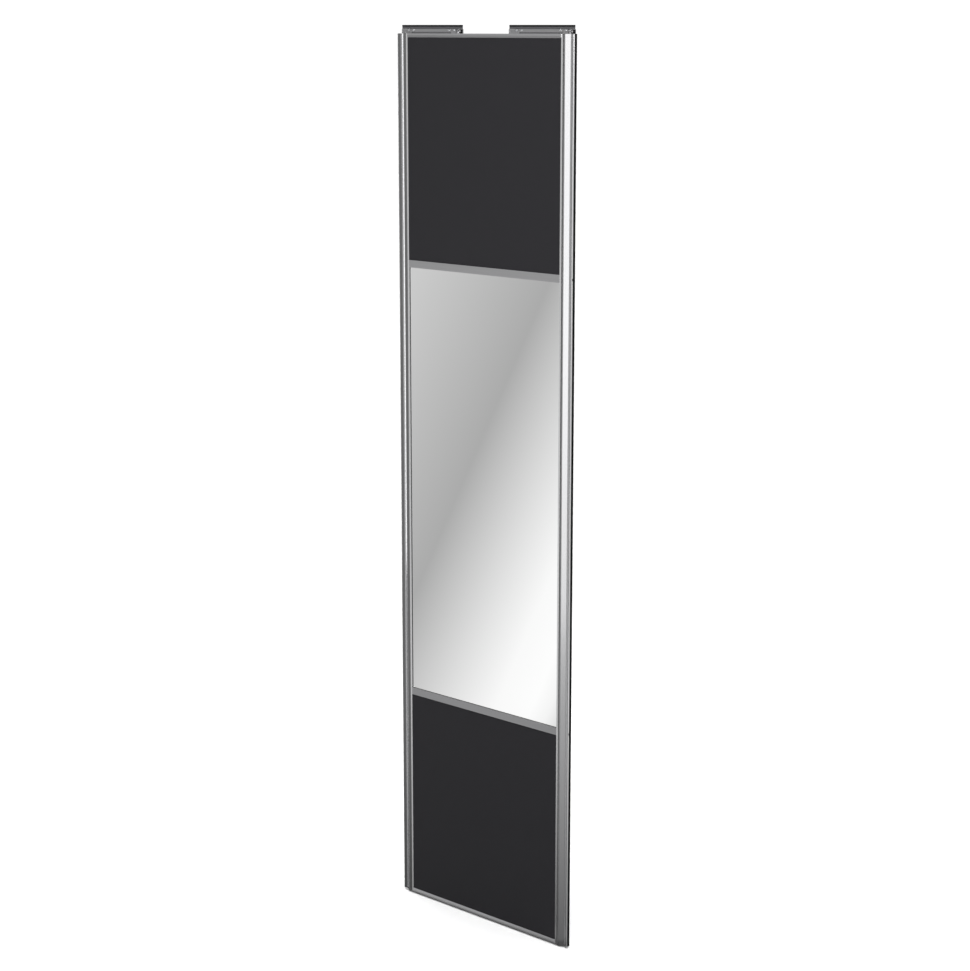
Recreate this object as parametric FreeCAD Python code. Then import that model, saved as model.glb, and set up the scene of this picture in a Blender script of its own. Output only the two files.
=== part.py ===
"""Leaf of a sliding wardrobe door: aluminium stiles and rails round two dark panels and a mirror.

Millimetres, +Z up, X across the leaf, front face towards -Y.
The origin lies on the running line of the two bottom wheels, midway between the stiles.
Inside the sections, "depth" is counted backwards from the front plane of the panels.
"""
import FreeCAD, Part
import math
import os

V = FreeCAD.Vector
os.makedirs("parts", exist_ok=True)

# ---------------------------------------------------------------- leaf
leaf_width = 622.0            # over both side seals
leaf_height = 2429.0          # stile length
wheel_drop = 6.0              # wheels reach this far below the leaf
upper_panel_show = 592.6      # visible height between the top rail and the upper middle rail
lower_panel_show = 584.6      # visible height between the bottom rail and the lower middle rail

# ---------------------------------------------------------------- sheets
panel_thickness = 10.0
mirror_thickness = 4.0
mirror_recess = 2.0           # mirror's face behind the panels' front plane
film_thickness = 0.3
sheet_gap = 0.2               # panel face to channel wall
edge_gap = 1.0                # panel edge to channel floor
gasket_floor = 1.0            # gasket round the mirror's edge
gasket_inset = 0.5            # gasket stops this far inside its channel
gasket_play = 0.1             # gasket face to the plane of the panel faces

# ---------------------------------------------------------------- profiles
wall = 1.4
stile_face = 41.7             # lip edge to the outside of the side seal
lip_proud = 1.3               # stile lips and middle rails in front of the panels
lip_width = 5.5               # flat part of the stile's front lip
stile_bite = 12.0             # depth of the stile's panel channel
crest_place = 13.6            # grip wave: its corners' distances from the lip edge, and their depths
crest_proud = 3.9
crest_round = 4.0
valley_place = 29.0
valley_sink = 3.6
valley_round = 3.0
outer_crest_place = 38.0
outer_crest_sink = 0.6
outer_crest_round = 1.5
lip_round = 1.5
corner_sink = 2.9             # outer front corner behind the panels' front plane
seal_stand = 1.0              # side seal's thickness
seal_margin = 0.1
seal_round = 0.6              # share of its thickness that its outer edges are rounded by
stile_box_width = 26.6        # rear box of the stile

edge_rail_face = 10.2         # visible height of the top and bottom rails
edge_rail_bite = 8.0
edge_lip_proud = 2.2
edge_lip_tip = 0.9            # the bevelled lip's proud at its panel edge
edge_bevel = 5.2
top_box_height = 20.0
middle_rail_face = 20.0
middle_rail_web = 7.0

# ---------------------------------------------------------------- frame screws
port_size = 6.4               # square boss of an edge rail's screw port
port_radius = 2.1
screw_clearance = 0.15        # radial, in the stile walls and round the heads
screw_head_radius = 3.4
screw_head_height = 2.6
screw_head_round = 0.4        # share of its height that a head's rim is rounded by
screw_grip = 30.0             # length held in the rail's port
socket_flats = 3.0
socket_depth = 1.4

# ---------------------------------------------------------------- wheel carriages
wheel_radius = 20.0
wheel_width = 8.0
wheel_crown = 6.0             # radius of the rounded tread
wheel_web = 5.0               # thickness of the disc between rim and hub
wheel_rim = 4.0
wheel_hub_wall = 3.0
wheel_inset = 62.0            # wheel centre in from the stile's lip edge
axle_radius = 3.0
ring_inner_radius = 5.2       # outside of the bearing's inner ring
ring_outer_radius = 7.4       # inside of its outer ring
bearing_radius = 9.5
bearing_width = 6.0
ball_radius = 1.7
ball_play = 0.05
ball_count = 9
side_play = 0.5               # wheel face to fork cheek
spacer_wall = 1.4
fork_sheet = 1.5
fork_over_wheel = 1.0         # gap between the tread and the fork's bridge
fork_past_wheel = 2.0         # fork's closed ends beyond the tread
nut_length = 11.0             # nut block beside the wheel, towards the stile
nut_height = 18.0
cheek_drop = 7.0              # cheeks end this far below the axle
slide_gap = 0.3               # fork to carriage housing
housing_wall = 1.0
housing_block = 9.0           # solid ends that take the fixing screws
housing_play = 0.1            # housing to the rail's chamber
housing_lift = 1.0            # housing's foot above the leaf's lower edge
housing_roof = 2.0
height_travel = 4.0           # wheels up and down from rest
adjuster_radius = 3.0
adjuster_play = 0.05
adjuster_head_radius = 4.6
adjuster_head_height = 4.0
adjuster_collar = 1.5
adjuster_key = 4.0            # across the flats of its socket
adjuster_key_floor = 1.4      # left under the socket
adjuster_gap = 0.3
neck_gap = 0.3
key_hole_radius = 2.6
head_room = 1.0               # adjusting screw's head to the chamber's roof
carriage_screw_rise = 8.0     # fixing screws above the axle
carriage_screw_radius = 2.0
carriage_screw_bite = 7.5
carriage_screw_head = 3.7
carriage_screw_dome = 2.2

# ---------------------------------------------------------------- top guides with soft close
guide_end_gap = 13.4          # end of a guide in from the leaf's outer edge
guide_setback = 2.4           # guides' mid-plane behind the top box's front wall
base_height = 4.4
base_width = 8.0
channel_width = 9.2
channel_sheet = 0.8
channel_in_cover = 1.0        # channel's walls reach this far up inside the cover
tongue_gap = 1.0              # bracket's tongue below the channel's edge
cover_low = 11.6              # lower edge of the damper cover above the leaf
cover_high = 17.5
cover_width = 11.2
cover_wall = 0.9
cover_roof = 1.5
strip_width = 11.6
strip_height = 4.6
strip_round = 0.8
bracket_end = 33.0            # end bracket's block begins this far in from the guide's end
bracket_block = 18.0
bracket_tongue = 12.0         # tongue of the block inside the channel
bracket_plate = 2.4           # roller plate behind the block
bracket_tip = 3.0
guide_screw_gap = 0.7         # screw head to the bracket's tongue
guide_screw_radius = 1.5
guide_screw_head = 2.6
guide_screw_dome = 1.4
guide_screw_bite = 4.0        # length below the leaf's top face
guide_screw_key = 2.0
guide_screw_key_depth = 0.8
rivet_radius = 1.6
rivet_head = 2.8
rivet_dome = 1.1
rivet_round = 0.7             # share of its height that a rivet head's rim is rounded by
rivet_in_tongue = 0.65        # rivets' places, as shares of the tongue's and the block's lengths
rivet_in_block = 0.55
guide_roller_radius = 5.4
guide_roller_width = 5.0
guide_roller_round = 0.7
guide_roller_height = 5.9     # its axis above the leaf
guide_roller_face = 5.6       # its outer face from the guide's mid-plane
roller_pin_radius = 1.6
roller_pin_play = 0.06
roller_pin_head = 2.6
roller_pin_dome = 0.8
roller_pin_gap = 0.2
boss_radius = 2.3
boss_gap = 0.3

damper_radius = 3.0
damper_bore = 2.4
damper_axis = 8.6             # above the leaf
damper_cap = 2.0
damper_end_gap = 0.9          # closed end to the fixing screw beside it
rod_radius = 1.2
rod_play = 0.05
piston_play = 0.1
piston_length = 4.0
piston_rest_gap = 1.0         # piston to the damper's closed end at rest
piston_spare = 2.5            # bore left in front of the piston when the catch is set
catch_travel = 48.0
catch_length = 14.0
catch_width = 4.4
catch_low = 12.2
catch_high = 15.6
catch_arm = 3.0
catch_arm_low = 7.0
catch_arm_inset = 0.4
catch_gap = 3.0               # catch to damper at rest
catch_end_gap = 0.75          # arm to the bracket's tongue at full travel
claw_width = 3.0
claw_length = 8.0
claw_top_gap = 0.5            # claw below the top of the guide strip
claw_notch = 3.4
slot_width = 3.7
slot_spare = 2.5
spring_radius = 1.4           # to the wire's centre
spring_wire = 0.5
spring_turns = 24
spring_length = 56.0
spring_gap = 0.4
spring_axis = 13.9

# ---------------------------------------------------------------- derived: the wheels' chamber
channel_back = panel_thickness + sheet_gap
flange_back = channel_back + wall
fork_half = wheel_width / 2 + side_play + fork_sheet
chamber_half = fork_half + slide_gap + housing_wall + housing_play
roller_depth = flange_back + chamber_half         # panels' front plane to the wheels' mid-plane
frame_depth = flange_back + 2 * chamber_half + wall
wheel_axis = wheel_radius
fork_end = wheel_radius + fork_past_wheel
fork_front = fork_end + nut_length
adjuster_place = fork_end + nut_length / 2
fork_top = wheel_axis + wheel_radius + fork_over_wheel + fork_sheet
collar_low = fork_top + height_travel + 2 * adjuster_gap
roof_low = collar_low + adjuster_collar + adjuster_gap
roof_high = roof_low + housing_roof
adjuster_head_low = roof_high + adjuster_gap
chamber_height = adjuster_head_low + adjuster_head_height + head_room + wall - wheel_drop
carriage_screw_level = wheel_axis + carriage_screw_rise

# ---------------------------------------------------------------- derived: planes of the leaf
leaf_low = wheel_drop
leaf_high = leaf_low + leaf_height
inner_half = leaf_width / 2 - stile_face
side_half = leaf_width / 2 - seal_stand
sheet_half = inner_half + stile_bite - edge_gap
lower_rail_axis = leaf_low + edge_rail_face + lower_panel_show + middle_rail_face / 2
upper_rail_axis = leaf_high - edge_rail_face - upper_panel_show - middle_rail_face / 2
port_depth = flange_back + screw_head_radius + screw_clearance
bottom_port = leaf_low + chamber_height + port_size / 2
top_port = leaf_high - top_box_height - port_size / 2

# ---------------------------------------------------------------- derived: inside a top guide
guide_depth = flange_back + guide_setback
damper_length = catch_travel + piston_length + piston_rest_gap + piston_spare + 2 * damper_cap
tongue_start = (catch_end_gap + catch_travel + catch_arm + catch_gap + damper_length + damper_end_gap
                + 2 * guide_screw_head + guide_screw_gap) / 2
guide_screw_offset = tongue_start - guide_screw_gap - guide_screw_head
damper_start = guide_screw_offset - guide_screw_head - damper_end_gap - damper_length
channel_half = tongue_start + bracket_tongue
guide_half = channel_half + bracket_end
channel_top = cover_low + channel_in_cover
tongue_top = channel_top - tongue_gap
rivet_height = (base_height + channel_sheet + tongue_top) / 2
rivet_places = [channel_half - bracket_tongue * rivet_in_tongue,
                channel_half + bracket_block * rivet_in_block]
strip_top = cover_high + strip_height


def depth(value):
    """Y of a plane that lies this far behind the panels' front plane."""
    return value - roller_depth


def box(x0, x1, y0, y1, z0, z1):
    """Box between two corners."""
    return Part.makeBox(x1 - x0, y1 - y0, z1 - z0, V(x0, y0, z0))


def rod(radius, start, end):
    """Round bar between two points."""
    return Part.makeCylinder(radius, (end - start).Length, start, end - start)


def hexagon(flats, start, way):
    """Hexagonal bar from a point, for a key socket."""
    outer = flats / math.sqrt(3)
    side = way.cross(V(0.3, 0.5, 0.8)).normalize()
    up = way.cross(side).normalize()
    corners = [start + side * (outer * math.cos(k * math.pi / 3)) + up * (outer * math.sin(k * math.pi / 3))
               for k in range(6)]
    return Part.Face(Part.makePolygon(corners + corners[:1])).extrude(way)


def prism(corners, way):
    """Straight-sided section carried along a vector."""
    return Part.Face(Part.makePolygon(corners + corners[:1])).extrude(way)


def ring(inner, outer, middle, width):
    """Ring round a Y axis, centred on a point."""
    start = middle - V(0, width / 2, 0)
    end = middle + V(0, width / 2, 0)
    return rod(outer, start, end).cut(rod(inner, start, end))


def screw(tip, seat, radius, head_radius, head_height, flats, key_depth):
    """Pan-head screw: shank from its tip to the seat, then a rounded head with a key socket."""
    way = (seat - tip).normalize()
    head = rod(head_radius, seat, seat + way * head_height)
    top_edges = [edge for edge in head.Edges
                 if edge.Length > 5 and (edge.CenterOfMass - seat - way * head_height).Length < 0.01]
    head = head.makeFillet(head_height * screw_head_round, top_edges)
    whole = rod(radius, tip, seat).fuse(head)
    return whole.cut(hexagon(flats, seat + way * (head_height - key_depth), way * (key_depth + 1)))


def mirrored(shape):
    """The same piece on the other side of the leaf."""
    return shape.mirror(V(0, 0, 0), V(1, 0, 0))


def save(name, shape):
    """Write one node; a group of loose solids stays a compound."""
    solids = shape.removeSplitter().Solids
    whole = solids[0] if len(solids) == 1 else Part.makeCompound(solids)
    whole.exportStep("parts/" + name + ".step")


# ---------------------------------------------------------------- stiles
def wave(places, radii):
    """Edges through (distance from the lip edge, depth) corners, each inner corner rounded by its radius."""
    corners = [V(inner_half + along, depth(back), leaf_low) for along, back in places]
    edges = []
    start = corners[0]
    for before, corner, after, radius in zip(corners, corners[1:], corners[2:], radii):
        back = (before - corner).normalize()
        on = (after - corner).normalize()
        half_turn = (math.pi - back.getAngle(on)) / 2
        reach = radius * math.tan(half_turn)
        bulge = radius / math.cos(half_turn) - radius
        first = corner + back * reach
        last = corner + on * reach
        middle = corner + (back + on).normalize() * bulge
        edges.append(Part.makeLine(start, first))
        edges.append(Part.Arc(first, middle, last).toShape())
        start = last
    edges.append(Part.makeLine(start, corners[-1]))
    return edges


def stile_outline():
    """Right stile's outside: lip, grip wave, side wall, rear box and panel channel."""
    side = side_half - inner_half
    front = wave(
        [(0, -lip_proud), (lip_width, -lip_proud), (crest_place, -crest_proud), (valley_place, valley_sink),
         (outer_crest_place, outer_crest_sink), (side, corner_sink)],
        [lip_round, crest_round, valley_round, outer_crest_round])
    rest = [(side, corner_sink), (side, flange_back), (stile_box_width, flange_back),
            (stile_box_width, frame_depth), (0, frame_depth), (0, channel_back), (stile_bite, channel_back),
            (stile_bite, -sheet_gap), (0, -sheet_gap), (0, -lip_proud)]
    corners = [V(inner_half + along, depth(back), leaf_low) for along, back in rest]
    return Part.Face(Part.Wire(front + Part.makePolygon(corners).Edges))


def stile_hollows():
    """The two closed chambers: behind the grip wave, and in the rear box."""
    side = side_half - inner_half
    start = stile_bite + wall
    skin = wave(
        [(start, wall - crest_proud), (valley_place, valley_sink + wall),
         (outer_crest_place - wall / 2, outer_crest_sink + wall), (side - wall, corner_sink + wall)],
        [valley_round + wall, outer_crest_round / 2])
    rest = [(side - wall, corner_sink + wall), (side - wall, channel_back), (start, channel_back),
            (start, wall - crest_proud)]
    corners = [V(inner_half + along, depth(back), leaf_low) for along, back in rest]
    front = Part.Face(Part.Wire(skin + Part.makePolygon(corners).Edges)).extrude(V(0, 0, leaf_height))
    rear = box(inner_half + wall, inner_half + stile_box_width - wall,
               depth(flange_back), depth(frame_depth - wall), leaf_low, leaf_high)
    return [front, rear]


def stile():
    """Right stile with the holes for the screws that hold the four rails."""
    body = stile_outline().extrude(V(0, 0, leaf_height))
    for hollow in stile_hollows():
        body = body.cut(hollow)
    shank = port_radius + screw_clearance
    head_hole = screw_head_radius + screw_clearance
    for level in (bottom_port, top_port):
        y = depth(port_depth)
        body = body.cut(rod(shank, V(inner_half - 1, y, level), V(inner_half + wall + 1, y, level)))
        body = body.cut(rod(head_hole, V(inner_half + stile_box_width - 2 * wall, y, level),
                            V(inner_half + stile_box_width + 1, y, level)))
    for level in (lower_rail_axis, upper_rail_axis):
        y = depth(panel_thickness / 2)
        web = inner_half + stile_bite
        body = body.cut(rod(shank, V(web - 1, y, level), V(web + wall + 1, y, level)))
        body = body.cut(rod(head_hole, V(side_half - 2 * wall, y, level), V(side_half + 1, y, level)))
    return body


def side_seal():
    """Pile seal along the right stile's side, with a rounded outer face."""
    strip = box(side_half, side_half + seal_stand, depth(corner_sink + seal_margin),
                depth(flange_back - seal_margin), leaf_low, leaf_high)
    outer = [edge for edge in strip.Edges
             if edge.Length > leaf_height - 1 and edge.CenterOfMass.x > side_half + seal_stand / 2]
    return strip.makeFillet(seal_stand * seal_round, outer)


# ---------------------------------------------------------------- rails
def along_rail(corners):
    """Section of (depth, height) points carried between the two stiles."""
    points = [V(-inner_half, depth(back), level) for back, level in corners]
    return prism(points, V(2 * inner_half, 0, 0))


def bore_along(back, level, radius):
    """Hole right through a rail."""
    return rod(radius, V(-inner_half - 1, depth(back), level), V(inner_half + 1, depth(back), level))


def edge_lip(level, way):
    """Front part of an edge rail's section, from its outer edge (level) inwards (way is +1 or -1)."""
    return [(-edge_lip_proud, level), (-edge_lip_proud, level + way * (edge_rail_face - edge_bevel)),
            (-edge_lip_tip, level + way * edge_rail_face), (-sheet_gap, level + way * edge_rail_face),
            (-sheet_gap, level + way * (edge_rail_face - edge_rail_bite)),
            (channel_back, level + way * (edge_rail_face - edge_rail_bite))]


def port_boss(level):
    """Square boss of a screw port, against the back of the panel."""
    half = port_size / 2
    return box(-inner_half, inner_half, depth(port_depth - half), depth(port_depth + half),
               level - half, level + half)


def carriage_places():
    """X of the two wheel centres."""
    return [-(inner_half - wheel_inset), inner_half - wheel_inset]


def bottom_rail():
    """Bevelled lip and panel channel in front, and a chamber open below for the carriages."""
    roof = leaf_low + chamber_height
    outline = edge_lip(leaf_low, 1) + [
        (channel_back, roof), (frame_depth, roof), (frame_depth, leaf_low),
        (frame_depth - wall, leaf_low), (frame_depth - wall, roof - wall),
        (flange_back, roof - wall), (flange_back, leaf_low)]
    rail = along_rail(outline).fuse(port_boss(bottom_port))
    rail = rail.cut(bore_along(port_depth, bottom_port, port_radius))
    for middle in carriage_places():
        way = 1 if middle > 0 else -1
        x = middle + way * adjuster_place
        rail = rail.cut(rod(key_hole_radius, V(x, 0, roof - 2 * wall), V(x, 0, roof + 1)))
        for x in carriage_screw_places(middle):
            start = V(x, depth(frame_depth - 2 * wall), carriage_screw_level)
            end = V(x, depth(frame_depth + 1), carriage_screw_level)
            rail = rail.cut(rod(carriage_screw_radius, start, end))
    return rail


def top_rail():
    """Bevelled lip and panel channel in front, and a closed box that carries the guides."""
    floor = leaf_high - top_box_height
    outline = edge_lip(leaf_high, -1) + [
        (channel_back, floor), (frame_depth, floor), (frame_depth, leaf_high)]
    rail = along_rail(outline)
    rail = rail.cut(box(-inner_half - 1, inner_half + 1, depth(flange_back), depth(frame_depth - wall),
                        floor + wall, leaf_high - wall))
    rail = rail.fuse(port_boss(top_port))
    rail = rail.cut(bore_along(port_depth, top_port, port_radius))
    for x in guide_screw_places():
        rail = rail.cut(rod(guide_screw_radius, V(x, depth(guide_depth), leaf_high - 2 * wall),
                            V(x, depth(guide_depth), leaf_high + 1)))
    return rail


def middle_rail(level):
    """H section with a channel above and below, and a screw port in its web."""
    half = middle_rail_face / 2
    web = middle_rail_web / 2
    front = box(-inner_half, inner_half, depth(-lip_proud), depth(-sheet_gap), level - half, level + half)
    core = box(-inner_half, inner_half, depth(-sheet_gap), depth(channel_back), level - web, level + web)
    back = box(-inner_half, inner_half, depth(channel_back), depth(flange_back), level - half, level + half)
    rail = front.fuse([core, back])
    return rail.cut(bore_along(panel_thickness / 2, level, port_radius))


# ---------------------------------------------------------------- panels and mirror
def panel(low, high):
    """Melamine-faced board, from its lower to its upper edge."""
    return box(-sheet_half, sheet_half, depth(0), depth(panel_thickness), low, high)


def mirror_pieces():
    """Glass, its safety film, and the gasket that packs both out to the channel's width."""
    low = lower_rail_axis + middle_rail_web / 2 + edge_gap
    high = upper_rail_axis - middle_rail_web / 2 - edge_gap
    half = sheet_half - gasket_floor
    glass_back = mirror_recess + mirror_thickness
    film_back = glass_back + film_thickness
    glass_low = low + gasket_floor
    glass_high = high - gasket_floor
    glass = box(-half, half, depth(mirror_recess), depth(glass_back), glass_low, glass_high)
    film = box(-half, half, depth(glass_back), depth(film_back), glass_low, glass_high)
    front = depth(gasket_play)
    gasket = box(-sheet_half, sheet_half, front, depth(panel_thickness - gasket_play), low, high)
    window_low = lower_rail_axis + middle_rail_face / 2 - gasket_inset
    window_high = upper_rail_axis - middle_rail_face / 2 + gasket_inset
    window_half = inner_half + gasket_inset
    gasket = gasket.cut(box(-window_half, window_half, depth(-1), depth(panel_thickness + 1),
                            window_low, window_high))
    gasket = gasket.cut(box(-half, half, depth(mirror_recess), depth(film_back), glass_low, glass_high))
    return glass, film, gasket


# ---------------------------------------------------------------- frame screws
def corner_screws():
    """Four screws through the stiles' inner walls into the edge rails' ports."""
    group = []
    seat = inner_half + wall
    y = depth(port_depth)
    for level in (bottom_port, top_port):
        one = screw(V(inner_half - screw_grip, y, level), V(seat, y, level), port_radius,
                    screw_head_radius, screw_head_height, socket_flats, socket_depth)
        group += [one, mirrored(one)]
    return Part.makeCompound(group)


def middle_rail_screws():
    """Four longer screws that cross the stiles' panel channels into the middle rails' ports."""
    group = []
    seat = inner_half + stile_bite + wall
    y = depth(panel_thickness / 2)
    for level in (lower_rail_axis, upper_rail_axis):
        one = screw(V(inner_half - screw_grip, y, level), V(seat, y, level), port_radius,
                    screw_head_radius, screw_head_height, socket_flats, socket_depth)
        group += [one, mirrored(one)]
    return Part.makeCompound(group)


# ---------------------------------------------------------------- wheel carriages
def carriage_screw_places(middle):
    """X of the two screws that hold a carriage housing."""
    way = 1 if middle > 0 else -1
    back = fork_end + slide_gap + housing_block / 2
    front = fork_front + slide_gap + housing_block / 2
    return [middle - way * back, middle + way * front]


def wheel(middle):
    """Nylon wheel with a rounded tread and a thinner disc between rim and hub."""
    centre = V(middle, 0, wheel_axis)
    half = wheel_width / 2
    shoulder = wheel_radius - wheel_crown + math.sqrt(wheel_crown ** 2 - half ** 2)
    profile = Part.Wire([
        Part.makeLine(V(0, -half, 0), V(shoulder, -half, 0)),
        Part.Arc(V(shoulder, -half, 0), V(wheel_radius, 0, 0), V(shoulder, half, 0)).toShape(),
        Part.makeLine(V(shoulder, half, 0), V(0, half, 0)),
        Part.makeLine(V(0, half, 0), V(0, -half, 0))])
    body = Part.Face(profile).revolve(V(0, 0, 0), V(0, 1, 0), 360)
    body.translate(centre)
    groove = (wheel_width - wheel_web) / 2
    for side in (-1, 1):
        face = centre + V(0, side * (half - groove / 2), 0)
        body = body.cut(ring(bearing_radius + wheel_hub_wall, wheel_radius - wheel_rim, face, groove))
    return body.cut(rod(bearing_radius, centre - V(0, half, 0), centre + V(0, half, 0)))


def bearing(middle):
    """Inner ring, outer ring and balls, with grooves that clear the balls."""
    centre = V(middle, 0, wheel_axis)
    pitch = (ring_inner_radius + ring_outer_radius) / 2
    groove = Part.makeTorus(pitch, ball_radius + ball_play, centre, V(0, 1, 0))
    inner = ring(axle_radius, ring_inner_radius, centre, bearing_width).cut(groove)
    outer = ring(ring_outer_radius, bearing_radius, centre, bearing_width).cut(groove)
    balls = []
    for k in range(ball_count):
        turn = 2 * math.pi * k / ball_count
        place = centre + V(pitch * math.cos(turn), 0, pitch * math.sin(turn))
        balls.append(Part.makeSphere(ball_radius, place))
    return inner, outer, Part.makeCompound(balls)


def fork(middle, way):
    """Steel fork: two cheeks and a bridge over the wheel, with a threaded nut block beside it."""
    x0, x1 = sorted((middle - way * fork_end, middle + way * fork_front))
    inner = fork_half - fork_sheet
    cheek_low = wheel_axis - cheek_drop
    shell = box(x0, x1, -fork_half, fork_half, cheek_low, fork_top)
    shell = shell.cut(box(x0 - 1, x1 + 1, -inner, inner, cheek_low - 1, fork_top - fork_sheet))
    n0, n1 = sorted((middle + way * fork_end, middle + way * fork_front))
    shell = shell.fuse(box(n0, n1, -inner, inner, fork_top - nut_height, fork_top))
    shell = shell.cut(rod(axle_radius, V(middle, -fork_half, wheel_axis), V(middle, fork_half, wheel_axis)))
    x = middle + way * adjuster_place
    bore = adjuster_radius + adjuster_play
    return shell.cut(rod(bore, V(x, 0, fork_top - nut_height - 1), V(x, 0, fork_top + 1)))


def spacers(middle):
    """Two washers that centre the bearing between the cheeks."""
    inner = fork_half - fork_sheet
    width = inner - bearing_width / 2
    place = bearing_width / 2 + width / 2
    outer = axle_radius + spacer_wall
    pair = [ring(axle_radius, outer, V(middle, side * place, wheel_axis), width) for side in (-1, 1)]
    return Part.makeCompound(pair)


def carriage_housing(middle, way):
    """Nylon block in the rail's chamber that guides the fork and carries the adjusting screw."""
    b0, b1 = sorted((middle - way * (fork_end + slide_gap), middle + way * (fork_front + slide_gap)))
    outer_half = chamber_half - housing_play
    inner = fork_half + slide_gap
    block = box(b0 - housing_block, b1 + housing_block, -outer_half, outer_half,
                leaf_low + housing_lift, roof_high)
    block = block.cut(box(b0, b1, -inner, inner, leaf_low, roof_low))
    x = middle + way * adjuster_place
    neck = adjuster_radius + neck_gap
    block = block.cut(rod(neck, V(x, 0, roof_low - 1), V(x, 0, roof_high + 1)))
    block = block.cut(box(x - neck, x + neck, 0, outer_half + 1, roof_low - 1, roof_high + 1))
    for x in carriage_screw_places(middle):
        start = outer_half - carriage_screw_bite
        block = block.cut(rod(carriage_screw_radius, V(x, start, carriage_screw_level),
                              V(x, outer_half + 1, carriage_screw_level)))
    return block


def adjusting_screw(middle, way):
    """Vertical screw: thread in the fork, collar below the housing's roof and head above it."""
    x = middle + way * adjuster_place
    tip = V(x, 0, wheel_axis - cheek_drop)
    collar_high = collar_low + adjuster_collar
    head_low = V(x, 0, adjuster_head_low)
    head_high = head_low + V(0, 0, adjuster_head_height)
    body = rod(adjuster_radius, tip, head_high)
    body = body.fuse(rod(adjuster_head_radius, V(x, 0, collar_low), V(x, 0, collar_high)))
    body = body.fuse(rod(adjuster_head_radius, head_low, head_high))
    key = V(0, 0, adjuster_head_height)
    return body.cut(hexagon(adjuster_key, head_low + V(0, 0, adjuster_key_floor), key))


def carriage_screws():
    """Screws through the bottom rail's back into the carriage housings."""
    group = []
    for middle in carriage_places():
        for x in carriage_screw_places(middle):
            tip = V(x, depth(frame_depth - wall - housing_play - carriage_screw_bite), carriage_screw_level)
            seat = V(x, depth(frame_depth), carriage_screw_level)
            group.append(screw(tip, seat, carriage_screw_radius, carriage_screw_head, carriage_screw_dome,
                               socket_flats, socket_depth))
    return Part.makeCompound(group)


# ---------------------------------------------------------------- top guides
def guide_middles():
    """X of the middle of each guide; the right one is the left one turned about its upright axis."""
    place = leaf_width / 2 - guide_end_gap - guide_half
    return [("left", -place, 0), ("right", place, 180)]


def put_guide(shape, middle, turn):
    """Move a piece from the guide's own frame (leaf top at height 0) to its place on the leaf."""
    moved = shape.copy()
    moved.rotate(V(0, 0, 0), V(0, 0, 1), turn)
    moved.translate(V(middle, depth(guide_depth), leaf_high))
    return moved


def ends():
    """The guide's two ends: its bracket, roller and screws repeat after half a turn."""
    return [0, 180]


def turned(shape, turn):
    """A piece turned about the guide's upright axis."""
    moved = shape.copy()
    moved.rotate(V(0, 0, 0), V(0, 0, 1), turn)
    return moved


def end_bracket():
    """Zinc bracket: block under the cover with a tongue in the channel, and the roller's plate behind."""
    half = channel_width / 2
    inner = half - channel_sheet
    tongue = box(channel_half - bracket_tongue, channel_half, -inner, inner,
                 base_height + channel_sheet, tongue_top)
    block = box(channel_half, channel_half + bracket_block, -half, half - bracket_plate, 0, cover_low)
    block = block.fuse(tongue)
    plate = box(channel_half, guide_half + bracket_tip, half - bracket_plate, half, 0, cover_low - boss_gap)
    boss_start = guide_roller_width - guide_roller_face + boss_gap
    boss = rod(boss_radius, V(guide_half, boss_start, guide_roller_height),
               V(guide_half, half - bracket_plate, guide_roller_height))
    plate = plate.fuse(boss)
    plate = plate.cut(rod(roller_pin_radius, V(guide_half, boss_start - 1, guide_roller_height),
                          V(guide_half, half + 1, guide_roller_height)))
    for place in rivet_places:
        hole = rod(rivet_radius, V(place, -half - 1, rivet_height), V(place, half + 1, rivet_height))
        block = block.cut(hole)
        plate = plate.cut(hole)
    return Part.makeCompound([block, plate])


def guide_screw_places():
    """X of the four upright screws that hold the guides on the leaf."""
    return [middle + side * guide_screw_offset for _, middle, _ in guide_middles() for side in (-1, 1)]


def guide_screws():
    """Low-headed screws through the channels' floors into the top rail."""
    group = []
    for x in guide_screw_places():
        seat = V(x, depth(guide_depth), leaf_high + base_height + channel_sheet)
        tip = V(x, depth(guide_depth), leaf_high - guide_screw_bite)
        group.append(screw(tip, seat, guide_screw_radius, guide_screw_head, guide_screw_dome,
                           guide_screw_key, guide_screw_key_depth))
    return Part.makeCompound(group)


def guide_rivets():
    """Rivets of the end brackets, with a domed head on both faces."""
    group = []
    half = channel_width / 2
    for _, middle, turn in guide_middles():
        for end in ends():
            for x in rivet_places:
                pin = rod(rivet_radius, V(x, -half, rivet_height), V(x, half, rivet_height))
                for side in (-1, 1):
                    face = V(x, side * half, rivet_height)
                    head = rod(rivet_head, face, face + V(0, side * rivet_dome, 0))
                    rim = [edge for edge in head.Edges
                           if edge.Length > 5 and abs(edge.CenterOfMass.y) > half + rivet_dome / 2]
                    pin = pin.fuse(head.makeFillet(rivet_dome * rivet_round, rim))
                group.append(put_guide(turned(pin, end), middle, turn))
    return Part.makeCompound(group)


def guide_base():
    """Plastic packing strip between the leaf and the guide's channel."""
    base = box(-channel_half, channel_half, -base_width / 2, base_width / 2, 0, base_height)
    for side in (-1, 1):
        x = side * guide_screw_offset
        base = base.cut(rod(guide_screw_radius, V(x, 0, -1), V(x, 0, base_height + 1)))
    return base


def guide_channel():
    """Folded metal channel that holds the damper."""
    half = channel_width / 2
    inner = half - channel_sheet
    channel = box(-channel_half, channel_half, -half, half, base_height, channel_top)
    channel = channel.cut(box(-channel_half - 1, channel_half + 1, -inner, inner,
                              base_height + channel_sheet, channel_top + 1))
    for side in (-1, 1):
        x = side * guide_screw_offset
        channel = channel.cut(rod(guide_screw_radius, V(x, 0, base_height - 1), V(x, 0, channel_top)))
        x = side * rivet_places[0]
        start = V(x, -half - 1, rivet_height)
        channel = channel.cut(rod(rivet_radius, start, V(x, half + 1, rivet_height)))
    return channel


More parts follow.
